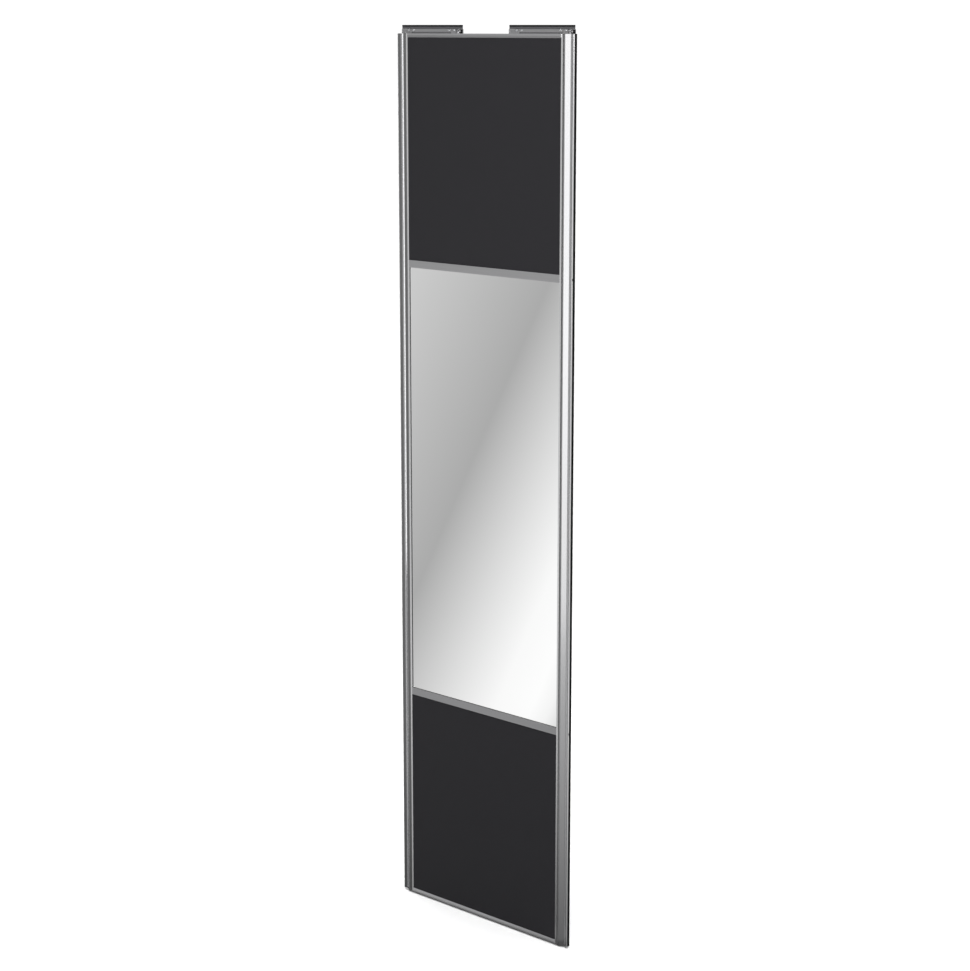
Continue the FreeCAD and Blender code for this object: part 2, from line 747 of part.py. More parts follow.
def slot_cut(low, high):
    """The slot that the catch's claw runs in."""
    claw_end = damper_start - catch_gap - (catch_length - claw_length) / 2
    x1 = claw_end + slot_spare
    x0 = claw_end - claw_length - catch_travel - slot_spare
    return box(x0, x1, -slot_width / 2, slot_width / 2, low, high)


def guide_cover():
    """Plastic cover: an upside-down channel the length of the guide, slotted on top."""
    half = cover_width / 2
    cover = box(-guide_half, guide_half, -half, half, cover_low, cover_high)
    cover = cover.cut(box(-channel_half, channel_half, -half + cover_wall, half - cover_wall,
                          cover_low - 1, cover_high - cover_roof))
    return cover.cut(slot_cut(cover_low, cover_high + 1))


def guide_strip():
    """Black runner on top of the guide, slotted for the catch."""
    half = strip_width / 2
    strip = box(-guide_half, guide_half, -half, half, cover_high, strip_top)
    long_edges = [edge for edge in strip.Edges
                  if edge.Length > 2 * guide_half - 1 and edge.CenterOfMass.z > strip_top - 1]
    strip = strip.makeFillet(strip_round, long_edges)
    return strip.cut(slot_cut(cover_high - 1, strip_top + 1))


def damper_cylinder():
    """Closed tube with a cap that the rod passes through."""
    end = damper_start + damper_length
    tube = rod(damper_radius, V(damper_start, 0, damper_axis), V(end, 0, damper_axis))
    tube = tube.cut(rod(damper_bore, V(damper_start + damper_cap, 0, damper_axis),
                        V(end - damper_cap, 0, damper_axis)))
    return tube.cut(rod(rod_radius + rod_play, V(damper_start - 1, 0, damper_axis),
                        V(damper_start + damper_cap + 1, 0, damper_axis)))


def piston_rod():
    """Rod from the catch's arm into the damper, ending in its piston."""
    start = damper_start - catch_gap
    end = damper_start + damper_length - damper_cap - piston_rest_gap
    shaft = rod(rod_radius, V(start, 0, damper_axis), V(end, 0, damper_axis))
    return shaft.fuse(rod(damper_bore - piston_play, V(end - piston_length, 0, damper_axis),
                          V(end, 0, damper_axis)))


def catch():
    """Sliding catch: body under the slot, notched claw through it, and an arm down to the rod."""
    end = damper_start - catch_gap
    body = box(end - catch_length, end, -catch_width / 2, catch_width / 2, catch_low, catch_high)
    claw_end = end - (catch_length - claw_length) / 2
    claw = box(claw_end - claw_length, claw_end, -claw_width / 2, claw_width / 2,
               catch_high, strip_top - claw_top_gap)
    middle = claw_end - claw_length / 2
    claw = claw.cut(box(middle - claw_notch / 2, middle + claw_notch / 2, -claw_width, claw_width,
                        cover_high, strip_top))
    arm_half = catch_width / 2 - catch_arm_inset
    arm = box(end - catch_arm, end, -arm_half, arm_half, catch_arm_low, catch_low)
    return body.fuse([claw, arm])


def catch_spring():
    """Tension spring above the damper, from the catch to its anchor."""
    pitch = spring_length / spring_turns
    path = Part.makeHelix(pitch, spring_length, spring_radius)
    start = V(spring_radius, 0, 0)
    circle = Part.Wire(Part.Circle(start, V(0, 1, 0), spring_wire / 2).toShape())
    coil = Part.Wire(path).makePipeShell([circle], True, True)
    coil.rotate(V(0, 0, 0), V(0, 1, 0), 90)
    coil.translate(V(damper_start - catch_gap + spring_gap, 0, spring_axis))
    return coil


def guide_roller():
    """Nylon roller with softened edges, at the guide's end."""
    outer = V(guide_half, -guide_roller_face, guide_roller_height)
    inner = outer + V(0, guide_roller_width, 0)
    roller = rod(guide_roller_radius, outer, inner)
    rims = [edge for edge in roller.Edges
            if edge.Closed and edge.Length > 2 * math.pi * guide_roller_radius - 1]
    roller = roller.makeFillet(guide_roller_round, rims)
    return roller.cut(rod(roller_pin_radius + roller_pin_play, outer - V(0, 1, 0), inner + V(0, 1, 0)))


def roller_pin():
    """Pin through the roller and the bracket, with a flat head."""
    face = V(guide_half, -guide_roller_face - roller_pin_gap, guide_roller_height)
    pin = rod(roller_pin_radius, face, V(guide_half, channel_width / 2, guide_roller_height))
    return pin.fuse(rod(roller_pin_head, face - V(0, roller_pin_dome, 0), face))


# ---------------------------------------------------------------- write the nodes
save("stile_right", stile())
save("stile_left", mirrored(stile()))
save("side_seal_right", side_seal())
save("side_seal_left", mirrored(side_seal()))
save("bottom_rail", bottom_rail())
save("top_rail", top_rail())
save("middle_rail_lower", middle_rail(lower_rail_axis))
save("middle_rail_upper", middle_rail(upper_rail_axis))
channel_floor = edge_rail_face - edge_rail_bite + edge_gap
save("lower_panel", panel(leaf_low + channel_floor, lower_rail_axis - middle_rail_web / 2 - edge_gap))
save("upper_panel", panel(upper_rail_axis + middle_rail_web / 2 + edge_gap, leaf_high - channel_floor))
mirror_glass, mirror_film, mirror_gasket = mirror_pieces()
save("mirror_glass", mirror_glass)
save("mirror_safety_film", mirror_film)
save("mirror_gasket", mirror_gasket)
save("corner_screws", corner_screws())
save("middle_rail_screws", middle_rail_screws())
save("carriage_screws", carriage_screws())
save("guide_screws", guide_screws())
save("guide_rivets", guide_rivets())

for side, middle in zip(("left", "right"), carriage_places()):
    way = 1 if middle > 0 else -1
    inner_ring, outer_ring, balls = bearing(middle)
    save("carriage_housing_" + side, carriage_housing(middle, way))
    save("wheel_fork_" + side, fork(middle, way))
    save("wheel_" + side, wheel(middle))
    save("bearing_inner_ring_" + side, inner_ring)
    save("bearing_outer_ring_" + side, outer_ring)
    save("bearing_balls_" + side, balls)
    save("wheel_spacers_" + side, spacers(middle))
    axle_ends = [V(middle, y, wheel_axis) for y in (-fork_half, fork_half)]
    save("wheel_axle_" + side, rod(axle_radius, *axle_ends))
    save("adjusting_screw_" + side, adjusting_screw(middle, way))

guide_pieces = {
    "guide_base": guide_base, "guide_channel": guide_channel, "guide_cover": guide_cover,
    "guide_strip": guide_strip, "damper_cylinder": damper_cylinder, "piston_rod": piston_rod,
    "catch": catch, "catch_spring": catch_spring,
}
for side, middle, turn in guide_middles():
    for name, make in guide_pieces.items():
        save(name + "_" + side, put_guide(make(), middle, turn))
    both_brackets = [put_guide(turned(end_bracket(), end), middle, turn) for end in ends()]
    save("end_brackets_" + side, Part.makeCompound(both_brackets))
    both_pins = [put_guide(turned(roller_pin(), end), middle, turn) for end in ends()]
    save("roller_pins_" + side, Part.makeCompound(both_pins))
    for end in ends():
        face = "front" if end == turn else "rear"
        save("guide_roller_" + face + "_" + side, put_guide(turned(guide_roller(), end), middle, turn))
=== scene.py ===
# %% [markdown]
# # A sliding wardrobe door leaf
# The object is one leaf of a sliding wardrobe: two dark boards with a mirror between them, held in an
# aluminium frame, with two wheels in the bottom rail and two long guides on the top rail. The CAD model
# already gives every part its true shape and place. What is left for this script is the look: the light of
# a studio, a finish for each material, and the soft pile that a solid can't show.

# %% Load the frame
import math

import bpy
import numpy as np
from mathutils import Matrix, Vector


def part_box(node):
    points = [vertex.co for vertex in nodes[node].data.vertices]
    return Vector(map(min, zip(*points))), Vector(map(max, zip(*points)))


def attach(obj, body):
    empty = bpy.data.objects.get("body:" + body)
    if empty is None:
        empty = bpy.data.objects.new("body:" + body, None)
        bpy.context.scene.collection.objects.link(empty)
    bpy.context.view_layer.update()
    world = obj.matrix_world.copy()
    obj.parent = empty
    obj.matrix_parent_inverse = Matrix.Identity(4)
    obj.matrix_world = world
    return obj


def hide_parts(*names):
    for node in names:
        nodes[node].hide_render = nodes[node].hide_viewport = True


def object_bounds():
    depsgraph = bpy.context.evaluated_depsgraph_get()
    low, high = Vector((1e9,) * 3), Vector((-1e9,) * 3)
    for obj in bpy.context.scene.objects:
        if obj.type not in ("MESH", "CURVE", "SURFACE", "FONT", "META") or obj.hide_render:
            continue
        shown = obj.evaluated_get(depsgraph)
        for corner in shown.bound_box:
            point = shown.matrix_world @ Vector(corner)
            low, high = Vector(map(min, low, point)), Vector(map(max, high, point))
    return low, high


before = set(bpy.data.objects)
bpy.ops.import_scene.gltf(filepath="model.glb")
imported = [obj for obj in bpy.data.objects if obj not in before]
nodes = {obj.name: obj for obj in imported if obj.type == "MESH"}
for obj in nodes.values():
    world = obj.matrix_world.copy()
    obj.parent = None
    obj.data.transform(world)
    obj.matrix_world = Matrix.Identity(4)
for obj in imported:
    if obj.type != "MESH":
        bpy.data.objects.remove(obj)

cad_low, cad_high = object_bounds()
print(f"{len(nodes)} parts, {cad_high.x - cad_low.x:.3f} m wide, {cad_high.z - cad_low.z:.3f} m high")

# %% [markdown]
# ## The camera
# A product picture of a tall door is taken from a few metres away with a long lens, so that its edges stay
# nearly parallel. The eye is a little above the leaf's top and well round to the right of its front, so the
# camera is turned 42.5 degrees to the left, and 12 degrees down. A camera looks along its own -Z axis, so a
# tilt of 90 degrees about X is level, and the turn about Z comes after.

# %% Camera
camera_place = (3.861, -4.216, 2.456)
turned = math.radians(42.54)
tilted_down = math.radians(12.0)
focal_length = 80.27     # mm, with a sensor 36 mm wide

camera = bpy.data.objects.new("camera", bpy.data.cameras.new("camera"))
camera.data.lens = focal_length
camera.data.sensor_width = 36
camera.location = camera_place
camera.rotation_euler = (math.pi / 2 - tilted_down, 0, turned)
bpy.context.scene.collection.objects.link(camera)
bpy.context.scene.camera = camera
bpy.context.scene.view_settings.view_transform = "Standard"
print("camera", math.dist(camera_place, (0, 0, 1.2)), "m from the middle of the door")

# %% [markdown]
# ## The studio
# A mirror shows the room, so the room is half of this picture. A real studio would hang pale sheets round
# the set, with the light falling off across them. Here the world does that: its brightness depends on the
# direction only, so a flat mirror shows one even sweep of grey. The sweep follows a slanted plane through
# the scene: a grey sheet on one side that darkens towards the plane, and a bright sheet on the other side
# that ends in dark cloth. The greys are round values, and the wall straight behind the door is
# white.

# %% World helpers
def studio_node(kind, **inputs):
    """A node in the world's tree, with the inputs that are given by name."""
    node = world.node_tree.nodes.new("ShaderNode" + kind)
    for name, value in inputs.items():
        node.inputs[name].default_value = value
    return node


def fill_ramp(ramp, stops):
    """Puts (position, grey) stops on a colour ramp, in place of its own two."""
    while len(ramp.elements) > 1:
        ramp.elements.remove(ramp.elements[-1])
    for number, (position, grey) in enumerate(stops):
        stop = ramp.elements[0] if number == 0 else ramp.elements.new(position)
        stop.position = position
        stop.color = (grey, grey, grey, 1)


# %% World
plane_turn = math.radians(52)    # the slanted plane's normal points this far round from -Y towards +X
plane_drop = math.radians(23)    # and this far below level
sweep_normal = (
    math.sin(plane_turn) * math.cos(plane_drop),
    -math.cos(plane_turn) * math.cos(plane_drop),
    -math.sin(plane_drop),
)
sweep_greys = (        # (sine of the angle from the plane, grey)
    (-0.45, 0.10),     # dark cloth, out to the side
    (-0.20, 0.40),
    (-0.07, 0.70),     # the grey sheet
    (0.0, 0.45),       # its shaded end, on the plane itself
    (0.055, 1.05),     # the bright sheet
    (0.075, 1.10),
    (0.10, 0.35),
    (0.16, 0.16),      # dark again, between the sheets and the front lamp
    (0.78, 0.16),
    (0.90, 0.60),      # a pale wall, far out to the right
)
sheets_end = -0.30     # sine of the angle below level at which the sheets begin to darken
cloths_begin = -0.44   # and at which only the dark cloths on the ground are left
cloth_share = 0.12     # how much of the sweep's brightness the cloths give
wall_white = 1.05

world = bpy.data.worlds.new("studio")
bpy.context.scene.world = world
world.use_nodes = True
background = world.node_tree.nodes["Background"]
direction = studio_node("TexCoord")
across = studio_node("VectorMath")
across.operation = "DOT_PRODUCT"
across.inputs[1].default_value = sweep_normal
spread = studio_node("MapRange")
spread.inputs["From Min"].default_value = -1.0
sweep = studio_node("ValToRGB")
fill_ramp(sweep.color_ramp, [((sine + 1) / 2, grey) for sine, grey in sweep_greys])
parts = studio_node("SeparateXYZ")
ground = studio_node("MapRange")
ground.interpolation_type = "SMOOTHSTEP"
ground_range = {"From Min": cloths_begin, "From Max": sheets_end, "To Min": cloth_share, "To Max": 1.0}
for name, value in ground_range.items():
    ground.inputs[name].default_value = value
dimmed = studio_node("VectorMath")
dimmed.operation = "SCALE"
seen = studio_node("LightPath")
wall = studio_node("MixRGB")
wall.inputs["Color2"].default_value = (wall_white, wall_white, wall_white, 1)
for start, end in (
    (direction.outputs["Generated"], across.inputs[0]),
    (across.outputs["Value"], spread.inputs["Value"]),
    (spread.outputs["Result"], sweep.inputs["Fac"]),
    (direction.outputs["Generated"], parts.inputs["Vector"]),
    (parts.outputs["Z"], ground.inputs["Value"]),
    (sweep.outputs["Color"], dimmed.inputs[0]),
    (ground.outputs["Result"], dimmed.inputs["Scale"]),
    (seen.outputs["Is Camera Ray"], wall.inputs["Fac"]),
    (dimmed.outputs["Vector"], wall.inputs["Color1"]),
    (wall.outputs["Color"], background.inputs["Color"]),
):
    world.node_tree.links.new(start, end)
print("world sweep with", len(sweep_greys), "greys")

# %% [markdown]
# ## Floor
# The floor is plain, pale and wide, so that its far edge meets the white wall. A small floor with a curved
# backdrop would do too, but one flat sheet needs no seam. It is left out of reflections, because the sheets
# of the studio hang right down to it.

# %% Floor
def sheet_mesh(name, corners):
    """A flat four-cornered surface through the given points."""
    mesh = bpy.data.meshes.new(name)
    mesh.from_pydata(corners, [], [(0, 1, 2, 3)])
    return mesh


reach = 60.0
floor_white = 0.95
corners = [(-reach, -reach, 0), (reach, -reach, 0), (reach, reach, 0), (-reach, reach, 0)]
floor = bpy.data.objects.new("floor", sheet_mesh("floor", corners))
bpy.context.scene.collection.objects.link(floor)
floor.visible_glossy = False
floor_finish = bpy.data.materials.new("floor")
floor_finish.use_nodes = True
floor_shader = floor_finish.node_tree.nodes["Principled BSDF"]
floor_shader.inputs["Base Color"].default_value = (floor_white, floor_white, floor_white, 1)
floor_shader.inputs["Roughness"].default_value = 0.8
floor.data.materials.append(floor_finish)
print("floor", 2 * reach, "m square")

# %% [markdown]
# ## Lamps
# Polished profiles need tall lamps with clear sides: the wave of a stile then shows one bright line and one
# dark line, and the change between them is crisp. The front lamp stands a little to the right, where the
# broad slope of the right stile mirrors it. The side lamp stands far round to the left and does the same
# for the left stile. Its lower end is off the ground, so the line on the left stile fades out towards the
# bottom. A glowing sheet on the floor carries the line on the right stile down to the ground, ever weaker.
# A smaller lamp, high up in front and to the right, lights the guides on top of the leaf. Last comes a wide
# soft light from above, which makes the floor white.

# %% Helpers for lamps
def soft_light(name, place, aim, size, power):
    """A rectangular area light of (width, height) at a place, facing a point, its height upright."""
    lamp = bpy.data.lights.new(name, "AREA")
    lamp.shape = "RECTANGLE"
    lamp.size, lamp.size_y = size
    lamp.energy = power
    made = bpy.data.objects.new(name, lamp)
    made.location = place
    made.rotation_euler = (Vector(aim) - Vector(place)).to_track_quat("-Z", "Y").to_euler()
    made.visible_camera = False
    bpy.context.scene.collection.objects.link(made)
    return made


def tall_lamp(name, away, sideways, width, low, high, power, facing):
    """A soft light that stands upright between two heights, at a distance in front of or beside the door."""
    middle = (low + high) / 2
    place = (sideways, away, middle)
    return soft_light(name, place, (*facing, middle), (width, high - low), power)


def fade(light, axis, start, end, start_glow, end_glow):
    """The light's face glows by start_glow at start and end_glow at end, along X, Y or Z in the room."""
    light.data.use_nodes = True
    tree = light.data.node_tree
    here = tree.nodes.new("ShaderNodeNewGeometry")
    split = tree.nodes.new("ShaderNodeSeparateXYZ")
    spread = tree.nodes.new("ShaderNodeMapRange")
    stretch = {"From Min": start, "From Max": end, "To Min": start_glow, "To Max": end_glow}
    for name, value in stretch.items():
        spread.inputs[name].default_value = value
    tree.links.new(here.outputs["Position"], split.inputs["Vector"])
    tree.links.new(split.outputs[axis], spread.inputs["Value"])
    tree.links.new(spread.outputs["Result"], tree.nodes["Emission"].inputs["Strength"])


# %% Lamps
front = tall_lamp("front lamp", away=-3.0, sideways=1.48, width=2.05, low=0.02, high=3.8, power=25,
                  facing=(1.48, 0.0))
fade(front, "Z", start=0.0, end=1.1, start_glow=0.72, end_glow=1.0)
side = tall_lamp("side lamp", away=0.50, sideways=-2.74, width=1.75, low=0.35, high=3.2, power=27,
                 facing=(-0.29, 0.0))
top = soft_light("top lamp", (2.3, -2.2, cad_high.z + 0.9), (0, 0, cad_high.z - 0.5), (1.2, 1.2), 75)

ground_sheet = soft_light("ground sheet", (1.15, -1.52, 0.01), (1.15, -1.52, 1.0), (1.9, 2.96), 6)
fade(ground_sheet, "Y", start=-3.0, end=0.0, start_glow=1.0, end_glow=0.15)

ceiling = bpy.data.objects.new("ceiling", bpy.data.lights.new("ceiling", "SUN"))
ceiling.data.energy = 2.9
ceiling.data.angle = math.radians(60)
bpy.context.scene.collection.objects.link(ceiling)
for light in (front, side, top, ground_sheet):
    print(light.name, light.data.energy, "W")

# %% [markdown]
# ## Finishes
# A finish is one Principled shader and a few patterns that vary it. Every pattern is worked out from the
# object's own coordinates in metres, so it sits still on the part and has its true size. The small helpers
# below each add one thing: a pattern, a change of tone, a change of gloss, or a relief.

# %% Helpers for finishes
def new_finish(name, colour, roughness, metallic=0.0, **sockets):
    """A material whose constants are set on the Principled shader's own sockets."""
    finish = bpy.data.materials.new(name)
    finish.use_nodes = True
    shader = shader_of(finish)
    shader.inputs["Base Color"].default_value = (*colour, 1)
    shader.inputs["Roughness"].default_value = roughness
    shader.inputs["Metallic"].default_value = metallic
    for socket, value in sockets.items():
        shader.inputs[socket.replace("_", " ")].default_value = value
    return finish


def shader_of(finish):
    """The finish's Principled shader."""
    return finish.node_tree.nodes["Principled BSDF"]


def add(finish, kind, **inputs):
    """A node in the finish's tree, with the inputs that are given by name."""
    node = finish.node_tree.nodes.new("ShaderNode" + kind)
    for name, value in inputs.items():
        node.inputs[name.replace("_", " ")].default_value = value
    return node


def link(finish, start, end):
    """Joins one node's output to another's input."""
    finish.node_tree.links.new(start, end)


def places(finish, per_metre):
    """Object coordinates times a number for each axis: a low number draws a pattern out along that axis."""
    here = add(finish, "TexCoord")
    scaled = add(finish, "Mapping", Scale=per_metre)
    link(finish, here.outputs["Object"], scaled.inputs["Vector"])
    return scaled.outputs["Vector"]


def cloudy(finish, per_metre, detail=4.0, roughness=0.55):
    """Soft noise from 0 to 1, its patches about 1 / per_metre in size along each axis."""
    noise = add(finish, "TexNoise", Scale=1.0, Detail=detail, Roughness=roughness)
    link(finish, places(finish, per_metre), noise.inputs["Vector"])
    return noise.outputs["Fac"]


def grains(finish, per_metre):
    """Cells about 1 / per_metre in size, as the distance from each point to its nearest cell's middle."""
    cells = add(finish, "TexVoronoi", Scale=1.0)
    link(finish, places(finish, per_metre), cells.inputs["Vector"])
    return cells.outputs["Distance"]


def ranged(finish, pattern, low, high, dark=0.3, light=0.7):
    """The pattern's middle stretch, from dark to light, spread to run from low to high."""
    spread = add(finish, "MapRange", From_Min=dark, From_Max=light, To_Min=low, To_Max=high)
    link(finish, pattern, spread.inputs["Value"])
    return spread.outputs["Result"]


def tone(finish, pattern, colour):
    """Mixes a second colour over the one so far, as far as the pattern says."""
    base = shader_of(finish).inputs["Base Color"]
    mix = add(finish, "MixRGB")
    mix.inputs["Color1"].default_value = base.default_value
    if base.is_linked:
        link(finish, base.links[0].from_socket, mix.inputs["Color1"])
    mix.inputs["Color2"].default_value = (*colour, 1)
    link(finish, pattern, mix.inputs["Fac"])
    link(finish, mix.outputs["Color"], base)


def gloss(finish, pattern, low, high):
    """Roughness that follows the pattern, from low to high."""
    link(finish, ranged(finish, pattern, low, high), shader_of(finish).inputs["Roughness"])


def relief(finish, pattern, depth, strength=1.0):
    """Bump from the pattern, its full height given in metres, on top of any bump so far."""
    normal = shader_of(finish).inputs["Normal"]
    bump = add(finish, "Bump", Strength=strength, Distance=depth)
    if normal.is_linked:
        link(finish, normal.links[0].from_socket, bump.inputs["Normal"])
    link(finish, pattern, bump.inputs["Height"])
    link(finish, bump.outputs["Normal"], normal)


def worn_and_highlit_edges(finish, radius, colour, amount=0.6):
    """A second colour on the edges, for wear and a painted highlight: there a rounded normal leans away from
    the true one.
    """
    rounded = add(finish, "Bevel", Radius=radius)
    rounded.samples = 4
    true = add(finish, "NewGeometry")
    lean = add(finish, "VectorMath")
    lean.operation = "DOT_PRODUCT"
    link(finish, rounded.outputs["Normal"], lean.inputs[0])
    link(finish, true.outputs["Normal"], lean.inputs[1])
    edge = add(finish, "MapRange", From_Min=0.995, From_Max=0.9, To_Min=0.0, To_Max=amount)
    link(finish, lean.outputs["Value"], edge.inputs["Value"])
    tone(finish, edge.outputs["Result"], colour)


def give(finish, *names):
    """Puts the finish on the named parts."""
    for name in names:
        slots = nodes[name].data.materials
        slots.clear()
        slots.append(finish)


def both(*names):
    """The names of the left and the right copy of each part."""
    return [f"{name}_{side}" for name in names for side in ("left", "right")]


# %% [markdown]
# ## Aluminium
# The stiles and rails are extruded through a steel die and anodised. The die leaves very fine lines along
# the profile, and the satin bath gives a soft even sheen. The lines run along Z on the stiles and along X
# on the rails, so the same recipe takes the direction as a parameter. A drawn-out noise is enough for such
# lines: a wave texture would make them too regular. The stiles also carry faint short scratches from
# handling. The rails spread their highlight more one way than the other, as brushed metal does.

# %% Aluminium finishes
def drawn_aluminium(name, colour, roughness, along):
    """Satin aluminium with die lines along one axis: 0 for X, 2 for Z."""
    fine = [2600.0, 2600.0, 2600.0]
    fine[along] = 1.2
    broad = [240.0, 240.0, 240.0]
    broad[along] = 1.0
    finish = new_finish(name, colour, roughness, metallic=1.0)
    lines = cloudy(finish, fine, detail=2.0)
    clouds = cloudy(finish, (9.0, 9.0, 9.0), detail=5.0)
    tone(finish, ranged(finish, lines, 0.0, 0.25), tuple(0.88 * c for c in colour))
    tone(finish, ranged(finish, clouds, 0.0, 0.2), tuple(1.05 * c for c in colour))
    gloss(finish, cloudy(finish, broad, detail=3.0), roughness - 0.02, roughness + 0.02)
    relief(finish, lines, 0.000002)
    return finish


# %% Aluminium parts
stile_finish = drawn_aluminium("stile aluminium", (0.80, 0.80, 0.81), 0.17, along=2)
scratches = cloudy(stile_finish, (700.0, 700.0, 35.0), detail=1.0)
tone(stile_finish, ranged(stile_finish, scratches, 0.0, 0.12, dark=0.66, light=0.74), (0.62, 0.62, 0.63))
relief(stile_finish, scratches, 0.000004, 0.4)
rail_finish = drawn_aluminium("rail aluminium", (0.57, 0.57, 0.58), 0.30, along=0)
shader_of(rail_finish).inputs["Anisotropic"].default_value = 0.85
shader_of(rail_finish).inputs["Anisotropic Rotation"].default_value = 0.25
channel_finish = drawn_aluminium("channel aluminium", (0.50, 0.50, 0.51), 0.34, along=0)
rails = ("bottom_rail", "top_rail", "middle_rail_lower", "middle_rail_upper")
give(stile_finish, *both("stile"))
give(rail_finish, *rails)
give(channel_finish, *both("guide_channel"))
print("aluminium on", len(rails) + len(both("stile", "guide_channel")), "parts")

# %% [markdown]
# ## Dark boards
# The two boards are faced with anthracite melamine. Pressed against a steel plate with a very fine texture,
# it comes out smooth but not glossy: a faint pore relief, and patches where the sheen is a little stronger.

# %% Board finish
board_finish = new_finish("anthracite board", (0.0130, 0.0125, 0.0150), 0.40, Specular_IOR_Level=0.32)
pores = grains(board_finish, (900.0, 900.0, 900.0))
haze = cloudy(board_finish, (5.0, 5.0, 5.0), detail=6.0)
tone(board_finish, ranged(board_finish, haze, 0.0, 0.35), (0.0165, 0.0160, 0.0185))
gloss(board_finish, haze, 0.36, 0.44)
relief(board_finish, pores, 0.00002)
give(board_finish, "lower_panel", "upper_panel")

# %% [markdown]
# ## Mirror
# A silvered mirror is clear glass with metal on its back. The glass is so thin beside the distances in the
# room that one reflecting surface does the same. A trace of haze in its gloss is what is left after
# cleaning. The safety film on its back is a dull plastic sheet with a coarse grain.

# %% Mirror finish
mirror_finish = new_finish("silvered glass", (0.905, 0.907, 0.905), 0.01, metallic=1.0)
smears = cloudy(mirror_finish, (2.5, 2.5, 6.0), detail=7.0)
gloss(mirror_finish, smears, 0.0, 0.02)
give(mirror_finish, "mirror_glass")
film_finish = new_finish("safety film", (0.55, 0.57, 0.60), 0.5)
film_strands = grains(film_finish, (260.0, 260.0, 260.0))
tone(film_finish, ranged(film_finish, film_strands, 0.0, 0.35), (0.44, 0.46, 0.50))
gloss(film_finish, film_strands, 0.42, 0.60)
relief(film_finish, film_strands, 0.00008)
give(film_finish, "mirror_safety_film")

# %% [markdown]
# ## Plastics, rubber and pile
# Moulded parts carry the fine grain of a spark-eroded mould, and their edges are paler: wear where they rub,
# and a painted highlight where a rounded edge would catch light. One recipe with a colour and a gloss does
# for all of them. The pile is made of fibres, so it has no gloss to speak of.

# %% Plastic and rubber finishes
def moulded(name, colour, roughness, scuff_and_highlight_colour):
    """Moulded plastic: a fine spark-eroded grain, cloudy gloss, and paler edges for scuffs and a painted
    highlight.
    """
    finish = new_finish(name, colour, roughness)
    grain = grains(finish, (1500.0, 1500.0, 1500.0))
    clouds = cloudy(finish, (60.0, 60.0, 60.0))
    gloss(finish, clouds, roughness - 0.07, roughness + 0.07)
    relief(finish, grain, 0.00002)
    # Paler edges: rub wear, plus a painted highlight where a rounded edge would catch light.
    worn_and_highlit_edges(finish, 0.0004, scuff_and_highlight_colour, 0.35)
    return finish


# The last colour of each is its paler edge: scuff wear and a painted highlight.
black_finish = moulded("black acetal", (0.006, 0.006, 0.0065), 0.38, (0.035, 0.035, 0.037))
shader_of(black_finish).inputs["Specular IOR Level"].default_value = 0.16
cover_finish = moulded("dark grey cover", (0.06, 0.06, 0.065), 0.45, (0.14, 0.14, 0.145))
nylon_finish = moulded("grey nylon", (0.20, 0.20, 0.21), 0.50, (0.34, 0.34, 0.35))
tyre_finish = moulded("white nylon", (0.80, 0.80, 0.78), 0.42, (0.88, 0.88, 0.86))
gasket_finish = moulded("gasket", (0.05, 0.05, 0.05), 0.70, (0.08, 0.08, 0.08))
pile_finish = new_finish("pile", (0.0035, 0.0035, 0.0037), 0.95, Specular_IOR_Level=0.12)
pile_patches = cloudy(pile_finish, (70.0, 70.0, 70.0))
tone(pile_finish, ranged(pile_finish, pile_patches, 0.0, 1.0), (0.007, 0.007, 0.0072))
gloss(pile_finish, pile_patches, 0.85, 1.0)
relief(pile_finish, grains(pile_finish, (3500.0, 3500.0, 900.0)), 0.00005)

# %% [markdown]
# ## Steel and castings
# Plating leaves small cloudy patches, and grinding leaves a finer sheen. The same patches can drive the
# tone, the gloss and the relief, so that they agree with each other.

# %% Steel finishes
def plated(name, colour, roughness, spot):
    """Plated or ground steel: a metal with small cloudy patches in its tone and gloss."""
    finish = new_finish(name, colour, roughness, metallic=1.0)
    patches = cloudy(finish, (420.0, 420.0, 420.0))
    tone(finish, ranged(finish, patches, 0.0, 0.5), spot)
    gloss(finish, patches, roughness - 0.06, roughness + 0.10)
    relief(finish, patches, 0.00001)
    return finish


zinc_finish = plated("bright zinc", (0.72, 0.73, 0.75), 0.22, (0.60, 0.62, 0.64))
casting_finish = plated("tumbled zinc", (0.52, 0.52, 0.53), 0.45, (0.42, 0.42, 0.43))
ground_finish = plated("ground steel", (0.75, 0.75, 0.76), 0.14, (0.66, 0.66, 0.67))
spring_finish = plated("spring steel", (0.34, 0.34, 0.35), 0.30, (0.24, 0.24, 0.25))
tube_finish = plated("drawn steel", (0.60, 0.60, 0.62), 0.25, (0.50, 0.50, 0.52))

# %% [markdown]
# ## Handing out the finishes
# The imported model already says what each part is made of, in its material slot. Giving the finishes by that
# slot needs no long list of parts, and a part that is missed gets named. The guide's base gets a lighter
# copy of its cover's grey, painted lighter against the shade it sits in, so it is set last, by name.

# %% Give each part its finish by the record's slot
finish_of_slot = {
    "gasket_rubber": gasket_finish,
    "pile_seal": pile_finish,
    "zinc_steel": zinc_finish,
    "grey_nylon": nylon_finish,
    "white_nylon": tyre_finish,
    "bearing_steel": ground_finish,
    "black_plastic": black_finish,
    "dark_grey_plastic": cover_finish,
    "zinc_casting": casting_finish,
    "spring_steel": spring_finish,
    "damper_steel": tube_finish,
}
# A lighter copy of the cover's dark grey plastic: painted light on the shaded guide base.
base_painted_lighter = moulded("guide base lightened against shade", (0.11, 0.11, 0.115), 0.48, (0.20, 0.20, 0.205))
for name, node in nodes.items():
    slot_name = node.data.materials[0].name if node.data.materials else ""
    if slot_name in finish_of_slot:
        give(finish_of_slot[slot_name], name)
    elif not slot_name.endswith(("aluminium", "board", "glass", "film")):
        print("no finish for", name, slot_name)
give(base_painted_lighter, *both("guide_base"))
print(len(finish_of_slot) + 1, "small-part finishes")

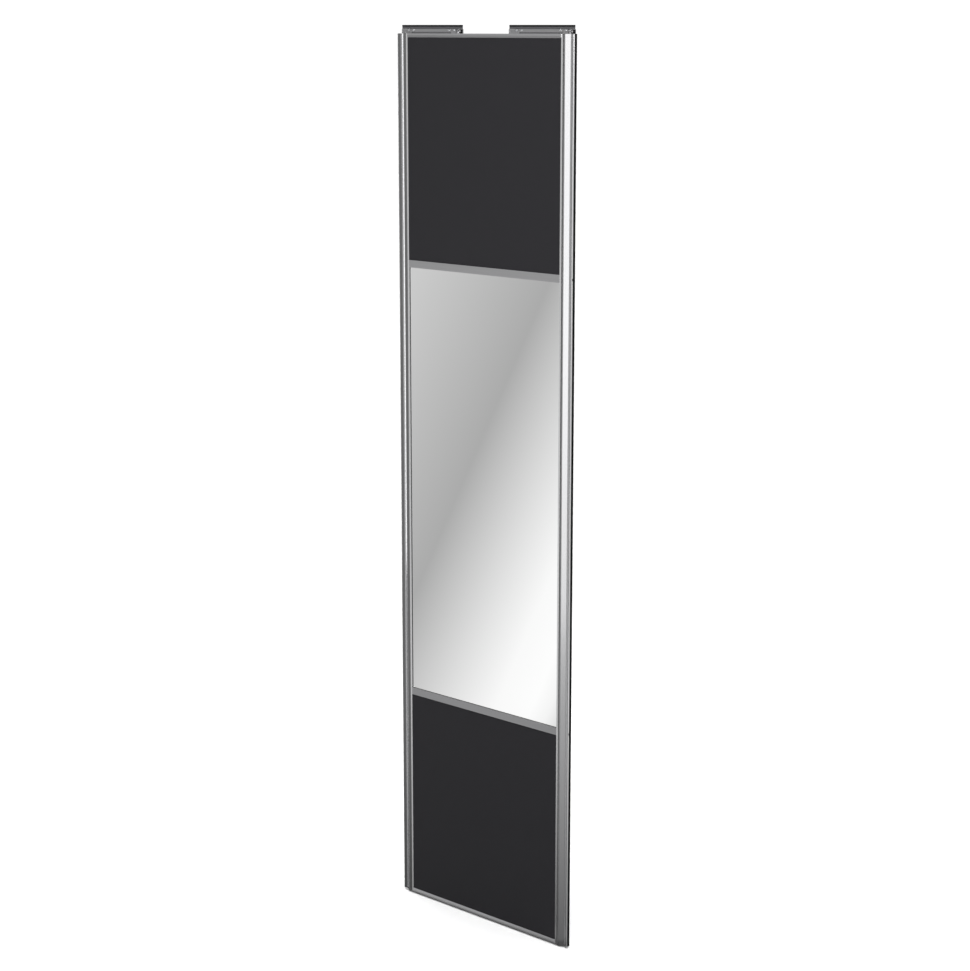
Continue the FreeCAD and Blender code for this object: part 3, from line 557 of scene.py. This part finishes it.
# %% [markdown]
# ## Pile seals
# A pile seal is a woven strip with short dense fibres standing on it. It keeps dust out and quietens the
# leaf when it closes against the side of the wardrobe. It could be one strip with a rough picture of fibres
# on it, but from the side its edge would be too straight. So each tuft is a small leaning spike of its own,
# and the tufts stand in rows along a thin backing. All of it stays inside the space that the CAD strip
# takes.

# %% Pile seals
tuft_rows = 5
tuft_pitch = 0.0013       # metres, as are the next four
tuft_half = 0.00062       # half of a tuft's foot, so neighbours close up
tuft_tip = 0.00016        # half of its tip
backing = 0.00030
lean_most = 0.00045
foot_share = 0.8          # how far out in the backing a foot is, so that it stays rooted in it
shortest = 0.80           # the shortest tuft's tip, as a share of the strip's thickness
square = np.array([(-1, -1), (1, -1), (1, 1), (-1, 1)], float)


def tuft_points(low, high, chance):
    """Eight points a tuft: a square foot on the backing, and a small square tip that leans.

    Foot = (just inside the backing, row, step along the strip) plus or minus half a foot. Tip = the same
    point moved out to between the shortest tuft's height and the strip's thickness, and sideways by a lean.
    """
    steps = np.arange(low[2] + tuft_half, high[2] - tuft_half, tuft_pitch)
    rows = np.linspace(low[1] + tuft_half, high[1] - tuft_half, tuft_rows)
    along, across = np.meshgrid(steps, rows, indexing="ij")
    along = along + (np.arange(tuft_rows) % 2) * tuft_pitch / 2
    feet = np.stack([across.ravel(), np.minimum(along.ravel(), high[2] - tuft_half)], 1)
    lean = chance.uniform(-lean_most, lean_most, feet.shape)
    innermost = (low[1] + tuft_tip, low[2] + tuft_tip)
    outermost = (high[1] - tuft_tip, high[2] - tuft_tip)
    tips = np.clip(feet + lean, innermost, outermost)
    height = low[0] + (high[0] - low[0]) * chance.uniform(shortest, 1.0, len(feet))
    points = np.empty((len(feet), 8, 3))
    points[:, :4, 0] = low[0] + backing * foot_share
    points[:, 4:, 0] = height[:, None]
    points[:, :4, 1:] = feet[:, None] + square * tuft_half
    points[:, 4:, 1:] = tips[:, None] + square * tuft_tip
    return points


print(tuft_rows, "rows of tufts,", tuft_pitch * 1000, "mm apart along the strip")


# %% Pile strip
def pile_strip(name, low, high, outward, seed):
    """Backing and tufts as one mesh; outward is 1 for the right stile and -1 for the left, mirrored in X."""
    tufts = tuft_points(low, high, np.random.default_rng(seed))
    sides = np.array([(0, 1, 5, 4), (1, 2, 6, 5), (2, 3, 7, 6), (3, 0, 4, 7), (4, 5, 6, 7)])
    faces = (np.arange(len(tufts))[:, None, None] * 8 + sides).reshape(-1, 4)
    strip = np.array([(x, y, z) for x in (low[0], low[0] + backing) for y in (low[1], high[1])
                      for z in (low[2], high[2])])
    box_faces = np.array([(0, 1, 3, 2), (4, 6, 7, 5), (0, 4, 5, 1), (2, 3, 7, 6), (0, 2, 6, 4), (1, 5, 7, 3)])
    points = np.concatenate([tufts.reshape(-1, 3), strip])
    faces = np.concatenate([faces, box_faces + tufts.size // 3])
    if outward < 0:
        points = points * (-1, 1, 1)
        faces = faces[:, ::-1]
    mesh = bpy.data.meshes.new(name)
    mesh.from_pydata(points.tolist(), [], faces.tolist())
    piece = bpy.data.objects.new(name, mesh)
    bpy.context.scene.collection.objects.link(piece)
    piece.data.materials.append(pile_finish)
    return piece


# %% Both pile seals
strip_low, strip_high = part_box("side_seal_right")
for seed, (side_name, outward) in enumerate((("right", 1), ("left", -1))):
    pile = pile_strip("pile_seal_" + side_name, strip_low, strip_high, outward, seed)
    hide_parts("side_seal_" + side_name)
    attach(pile, "leaf")
    print(pile.name, len(pile.data.polygons), "faces")
